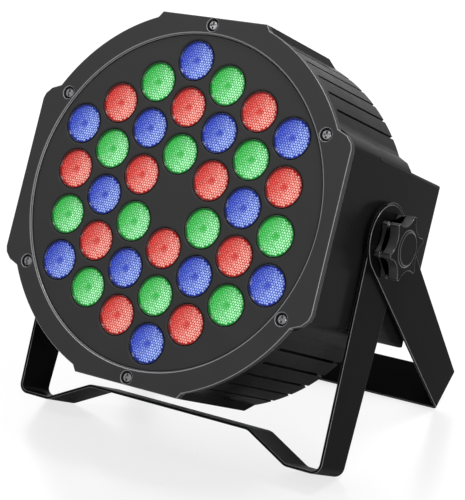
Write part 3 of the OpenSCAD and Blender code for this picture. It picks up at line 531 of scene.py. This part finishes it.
def set_lenses(node, deep, painted_highlight, rim):
    """Puts the finished lenses of one colour in the places of that CAD node's plain ones."""
    middles = front_middles(node)
    around = [v.co for v in frame["nodes"][node].data.vertices
              if (v.co - middles[0]).length < 14 * MM]
    radius = (max(p.x for p in around) - min(p.x for p in around)) / 2
    one = lens_shape(radius)
    plain = bpy.data.meshes.new("one lens")
    one.to_mesh(plain)
    one.free()
    stand = Matrix((ACROSS, UP, -DEPTH)).transposed().to_4x4()
    every = bmesh.new()
    for middle in middles:
        before = len(every.verts)
        every.from_mesh(plain)
        every.verts.ensure_lookup_table()
        bmesh.ops.transform(every, matrix=Matrix.Translation(middle) @ stand,
                            verts=every.verts[before:])
    mesh = bpy.data.meshes.new(node + "_honeycomb")
    every.to_mesh(mesh)
    every.free()
    bpy.data.meshes.remove(plain)
    tint = node.replace("lenses_", "")
    mesh.materials.append(lens_acrylic(tint + " acrylic", deep, painted_highlight, rim, radius))
    piece = bpy.data.objects.new(node + "_honeycomb", mesh)
    bpy.context.scene.collection.objects.link(piece)
    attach(piece, "head")
    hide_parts(node)


# ---------------------------------------------------------------- operators


class PARLIGHT_OT_studio(bpy.types.Operator):
    """Sets the floor, the lamps, the room's light and the camera"""

    bl_idname = "par_light.studio"
    bl_label = "Studio"

    def execute(self, context):
        studio = settings().studio
        scene = context.scene
        scene.view_settings.view_transform = "Standard"

        world = bpy.data.worlds.new("white room")
        scene.world = world
        world.use_nodes = True
        tree = world.node_tree
        tree.nodes.clear()
        path = add_node(tree, "ShaderNodeLightPath")
        seen = add_node(tree, "ShaderNodeMath", {0: path.outputs["Is Camera Ray"],
                                                 1: path.outputs["Is Glossy Ray"]},
                        operation="MAXIMUM")
        seen = add_node(tree, "ShaderNodeMath", {0: seen.outputs["Value"],
                                                 1: path.outputs["Is Transmission Ray"]},
                        operation="MAXIMUM")
        even = add_node(tree, "ShaderNodeBackground",
                        values={"Color": (1, 1, 1, 1), "Strength": studio.sky_light})
        white = add_node(tree, "ShaderNodeBackground",
                         values={"Color": (1, 1, 1, 1), "Strength": 1.0})
        both = add_node(tree, "ShaderNodeMixShader", {0: seen.outputs["Value"],
                                                      1: even.outputs["Background"],
                                                      2: white.outputs["Background"]})
        add_node(tree, "ShaderNodeOutputWorld", {"Surface": both.outputs["Shader"]})

        plane = bmesh.new()
        bmesh.ops.create_grid(plane, x_segments=1, y_segments=1, size=studio.floor_size / 2)
        mesh = bpy.data.meshes.new("floor")
        plane.to_mesh(mesh)
        plane.free()
        floor = bpy.data.objects.new("floor", mesh)
        scene.collection.objects.link(floor)
        mesh.materials.append(self.floor_paint())
        floor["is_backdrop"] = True

        middle = (CAD_LOW + CAD_HIGH) / 2
        for name, (place, size) in LAMPS.items():
            self.lamp(name, place, middle, size, getattr(studio, name + "_watts"))

        data = bpy.data.cameras.new("camera")
        data.sensor_fit = "AUTO"
        data.sensor_width = SENSOR
        data.lens = studio.camera_lens
        data.clip_start, data.clip_end = 0.01, 50.0
        camera = bpy.data.objects.new("camera", data)
        scene.collection.objects.link(camera)
        place, aim = Vector(studio.camera_place), Vector(studio.camera_aim)
        camera.location = place
        camera.rotation_mode = "QUATERNION"
        camera.rotation_quaternion = ((aim - place).to_track_quat("-Z", "Y")
                                      @ Quaternion((0, 0, 1), studio.camera_roll))
        scene.camera = camera
        return {"FINISHED"}

    def floor_paint(self):
        """Glossy white acrylic sheet: clean white, a faint mirror image and the light's shadow."""
        material, tree, shader = new_material("white acrylic floor", IOR=1.7, Roughness=0.26)
        path = add_node(tree, "ShaderNodeLightPath")
        place = add_node(tree, "ShaderNodeTexCoord")
        haze = add_node(tree, "ShaderNodeTexNoise", {"Vector": place.outputs["Object"]},
                        {"Scale": 6.0, "Detail": 2.0})
        blur = add_node(tree, "ShaderNodeMapRange", {"Value": haze.outputs["Fac"]},
                        {"To Min": 0.22, "To Max": 0.3})
        tree.links.new(blur.outputs["Result"], shader.inputs["Roughness"])
        # To the camera the sheet glows white and keeps a sixth of its shading, for the shadow
        sheet = add_node(tree, "ShaderNodeMix", {"Factor": path.outputs["Is Camera Ray"]},
                         data_type="RGBA", blend_type="MIX")
        sheet.inputs["A"].default_value = linear("#f4f4f4")
        sheet.inputs["B"].default_value = linear("#6c6c6c")
        tree.links.new(sheet.outputs["Result"], shader.inputs["Base Color"])
        shader.inputs["Emission Color"].default_value = (1, 1, 1, 1)
        glow = add_node(tree, "ShaderNodeMath", {0: path.outputs["Is Camera Ray"]}, {1: 0.75},
                        operation="MULTIPLY")
        tree.links.new(glow.outputs["Value"], shader.inputs["Emission Strength"])
        return material

    def lamp(self, name, place, aim, size, watts):
        """A soft lamp, as wide and as high as size says, turned to the light."""
        data = bpy.data.lights.new(name, "AREA")
        data.shape = "RECTANGLE"
        data.size, data.size_y = size
        data.energy = watts
        lamp = bpy.data.objects.new(name, data)
        bpy.context.scene.collection.objects.link(lamp)
        lamp.location = place
        lamp.rotation_mode = "QUATERNION"
        lamp.rotation_quaternion = (Vector(aim) - Vector(place)).to_track_quat("-Z", "Y")


class PARLIGHT_OT_mouldings(bpy.types.Operator):
    """Finishes the bezel, the lens panel and the grooved housing"""

    bl_idname = "par_light.mouldings"
    bl_label = "Mouldings"

    def execute(self, context):
        finish, edges = settings().finish, settings().edges
        # Painted highlight: the bezel's rounded edges get a light colour, with real extra gloss, so
        # they draw a light line round it
        painted_highlight = linear("#6a6a6c")[:3]
        dress(["bezel"],
              moulded_plastic("charcoal ABS", finish.bezel,
                              grain=0.7 * MM, roughness=0.45, gloss=0.08),
              moulded_plastic("charcoal ABS, burnished edges", painted_highlight,
                              grain=0.7 * MM, roughness=0.3, gloss=0.6))
        dress(["lens_panel"],
              moulded_plastic("black ABS panel", finish.panel,
                              grain=0.8 * MM, roughness=0.45, gloss=0.08))
        dress(["housing"],
              moulded_plastic("black ABS shell", finish.housing,
                              grain=0.8 * MM, roughness=0.24, gloss=0.016),
              moulded_plastic("black ABS, polished edges", finish.housing,
                              grain=0.8 * MM, roughness=0.25, gloss=0.5))
        # The bezel's short facets would clamp its rounding to almost nothing
        round_edges(["bezel"], edges.moulded, edges.segments, clamp=False)
        round_edges(["lens_panel", "housing"], edges.moulded, edges.segments)
        return {"FINISHED"}


class PARLIGHT_OT_lenses(bpy.types.Operator):
    """Makes the honeycomb lenses in their three colours"""

    bl_idname = "par_light.lenses"
    bl_label = "Lenses"

    def execute(self, context):
        # Each lens: its full colour, the light colour of its painted highlights and the dark colour of
        # the painted shade on its rim
        set_lenses("lenses_red", "#bc140a", "#fcb6a8", "#5a0a08")
        set_lenses("lenses_green", "#04a22e", "#b8fcc6", "#054a18")
        set_lenses("lenses_blue", "#0e2eaa", "#a8c0f6", "#0a164a")
        return {"FINISHED"}


class PARLIGHT_OT_brackets(bpy.types.Operator):
    """Finishes the two bent steel brackets"""

    bl_idname = "par_light.brackets"
    bl_label = "Brackets"

    def execute(self, context):
        names = ["front_bracket", "rear_bracket"]
        # Painted highlight: the rounded edges get a lighter colour, with real extra gloss, so they
        # draw a light line along the brackets
        bracket_edge_highlight = linear("#3a3a3b")[:3]
        dress(names, powder_coat("black powder coat", settings().finish.bracket, gloss=0.015),
              powder_coat("powder coat, thin at the edges", bracket_edge_highlight, gloss=0.8))
        round_edges(names, settings().edges.bent, settings().edges.segments)
        return {"FINISHED"}


class PARLIGHT_OT_knobs(bpy.types.Operator):
    """Finishes the hand knobs, their studs and their washers"""

    bl_idname = "par_light.knobs"
    bl_label = "Knobs"

    def execute(self, context):
        knobs = ["knob_left", "knob_right"]
        black = linear("#0b0b0b")[:3]
        dress(knobs,
              moulded_plastic("black nylon, matt cap", black,
                              grain=0.8 * MM, roughness=0.4, gloss=0.02),
              moulded_plastic("black nylon, polished edges", black,
                              grain=0.8 * MM, roughness=0.2, gloss=0.6),
              moulded_plastic("black nylon, smooth grip", black,
                              grain=0.8 * MM, roughness=0.42, gloss=0.9))
        smooth_sides(knobs)
        round_edges(knobs, settings().edges.knob, settings().edges.segments)
        dress(["stud_left", "stud_right", "washer_left", "washer_right"],
              plated_steel("zinc plated steel", "#b4b6ba", roughness=0.3, blotch=3 * MM))
        return {"FINISHED"}


class PARLIGHT_OT_fasteners(bpy.types.Operator):
    """Finishes the screws, the thread inserts and the socket contacts"""

    bl_idname = "par_light.fasteners"
    bl_label = "Fasteners"

    def execute(self, context):
        edges = settings().edges
        bright = ["bezel_screws", "heat_sink_screws", "driver_screws", "control_screws"]
        dark = ["fan_screws", "socket_screws"]
        dress(bright,
              plated_steel("dark nickel screws", "#7c7c7e", roughness=0.24, blotch=1.2 * MM))
        dress(dark, plated_steel("blackened screws", "#3a3a3c", roughness=0.34, blotch=1.2 * MM))
        dress(["thread_inserts"],
              plated_steel("turned brass", "#c9a35a", roughness=0.28, blotch=2 * MM))
        dress(["power_inlet_blades", "data_in_pins"],
              plated_steel("nickel plated contacts", "#cfccc2", roughness=0.2, blotch=2 * MM))
        dress(["data_out_latch"],
              plated_steel("pressed steel latch", "#b0b2b4", roughness=0.3, blotch=2 * MM))
        round_edges(bright[:1] + dark + ["data_out_latch"], edges.small, 2)
        return {"FINISHED"}


class PARLIGHT_OT_rear_panel(bpy.types.Operator):
    """Finishes the display, the buttons, the sockets and the fan"""

    bl_idname = "par_light.rear_panel"
    bl_label = "Rear panel"

    def execute(self, context):
        edges = settings().edges
        sockets = ["power_inlet", "data_in_socket", "data_out_socket"]
        buttons = ["menu_button", "down_button", "up_button", "enter_button"]
        dress(sockets,
              plain_plastic("glass filled nylon", "#1b1b1c", roughness=0.45, ripple=4 * MM))
        dress(buttons,
              plain_plastic("moulded silicone rubber", "#2a2a2b", roughness=0.62, ripple=3 * MM))
        dress(["fan_frame", "fan_rotor"],
              plain_plastic("black fan plastic", "#19191a", roughness=0.4, ripple=6 * MM))
        dress(["display_digits"],
              plain_plastic("grey digit faces", "#3a3634", roughness=0.5, ripple=5 * MM))
        dress(["display_window"], smoked_window("smoked red acrylic"))
        dress(["microphone"],
              plated_steel("microphone can", "#a8a8a8", roughness=0.35, blotch=2 * MM))
        round_edges(sockets + buttons + ["display_window"], edges.small, 2)
        return {"FINISHED"}


class PARLIGHT_OT_inner_parts(bpy.types.Operator):
    """Finishes the boards, the heat sink and the lens cups inside the housing"""

    bl_idname = "par_light.inner_parts"
    bl_label = "Inner parts"

    def execute(self, context):
        dress(["lens_cups"],
              plain_plastic("black polycarbonate cups", "#161616", roughness=0.35, ripple=5 * MM))
        dress(["led_chips"],
              plain_plastic("phosphor resin", "#efe6b8", roughness=0.25, ripple=1 * MM))
        dress(["led_board"],
              plain_plastic("white solder mask", "#e9e9e4", roughness=0.4, ripple=10 * MM))
        dress(["heat_sink"],
              plated_steel("extruded aluminium", "#d4d6d8", roughness=0.4, blotch=6 * MM))
        dress(["driver_board", "control_board"],
              plain_plastic("green solder mask", "#1f5a30", roughness=0.35, ripple=8 * MM))
        dress(["driver_parts"],
              plain_plastic("component cases", "#c9a94e", roughness=0.45, ripple=4 * MM))
        dress(["button_switches"],
              plain_plastic("switch bodies", "#8c8c8c", roughness=0.45, ripple=2 * MM))
        return {"FINISHED"}


# ---------------------------------------------------------------- image points


def image_point(place):
    """Where a place in the scene shows in the photograph's frame."""
    camera = bpy.context.scene.camera
    data = camera.data
    longest = max(FRAME_W, FRAME_H)
    local = camera.matrix_world.inverted() @ place
    reach = longest * data.lens / data.sensor_width / -local.z
    return (FRAME_W / 2 - data.shift_x * longest + local.x * reach,
            FRAME_H / 2 + data.shift_y * longest - local.y * reach)


def finished_corners(piece):
    """A finished piece's corners in the row's frame, modifiers included."""
    shown = piece.evaluated_get(bpy.context.evaluated_depsgraph_get())
    corners = [shown.matrix_world @ v.co for v in shown.to_mesh().vertices]
    shown.to_mesh_clear()
    return corners


def nearest_point(places, target):
    """Where the place nearest to a point of the photograph shows."""
    return min((image_point(p) for p in places),
               key=lambda q: math.hypot(q[0] - target[0], q[1] - target[1]))


class PARLIGHT_OT_points(bpy.types.Operator):
    """Works out how far each image point lies from what shows there"""

    bl_idname = "par_light.points"
    bl_label = "Image points"

    def execute(self, context):
        context.view_layer.update()
        shown = [image_point(corner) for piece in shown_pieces() for corner in finished_corners(piece)]
        sides = {"left": min(q[0] for q in shown), "right": max(q[0] for q in shown),
                 "top": min(q[1] for q in shown), "bottom": max(q[1] for q in shown)}
        off = {name: round(sides[name] - EDGES_IN_PHOTO[name], 2) for name in sides}
        places = {
            "lens": [middle for tint in ("red", "green", "blue")
                     for middle in front_middles("lenses_" + tint)],
            "screw": front_middles("bezel_screws"),
            "knob": [Vector((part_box("knob_right")[1].x, PIVOT.y, PIVOT.z))],
        }
        for name, target in POINTS_IN_PHOTO.items():
            x, y = nearest_point(places[name.split("_")[0]], target)
            off[name] = [round(x - target[0], 2), round(y - target[1], 2)]
        return {"FINISHED"}


# ---------------------------------------------------------------- add-on


class ParLightSettings(bpy.types.PropertyGroup):
    """Every size and colour of the light's finish."""

    studio: PointerProperty(type=StudioSettings)
    edges: PointerProperty(type=EdgeSettings)
    lenses: PointerProperty(type=LensSettings)
    finish: PointerProperty(type=FinishSettings)


STEPS = (
    PARLIGHT_OT_studio, PARLIGHT_OT_mouldings, PARLIGHT_OT_lenses, PARLIGHT_OT_brackets,
    PARLIGHT_OT_knobs, PARLIGHT_OT_fasteners, PARLIGHT_OT_rear_panel, PARLIGHT_OT_inner_parts,
    PARLIGHT_OT_points,
)


class PARLIGHT_PT_panel(bpy.types.Panel):
    """Lists the light's pieces and their settings"""

    bl_idname = "PARLIGHT_PT_panel"
    bl_label = "Par light"
    bl_space_type = "VIEW_3D"
    bl_region_type = "UI"
    bl_category = "Par light"

    def draw(self, context):
        layout = self.layout
        for step in STEPS:
            layout.operator(step.bl_idname)
        for group in (settings().studio, settings().edges, settings().lenses, settings().finish):
            box = layout.box()
            for name in group.__annotations__:
                box.prop(group, name)


CLASSES = (StudioSettings, EdgeSettings, LensSettings, FinishSettings, ParLightSettings,
           *STEPS, PARLIGHT_PT_panel)


def register():
    for cls in CLASSES:
        bpy.utils.register_class(cls)
    bpy.types.Scene.par_light = PointerProperty(type=ParLightSettings)


def unregister():
    del bpy.types.Scene.par_light
    for cls in reversed(CLASSES):
        bpy.utils.unregister_class(cls)


def main():
    register()
    for step in STEPS:
        group, name = step.bl_idname.split(".")
        getattr(getattr(bpy.ops, group), name)()


if __name__ == "__main__":
    main()
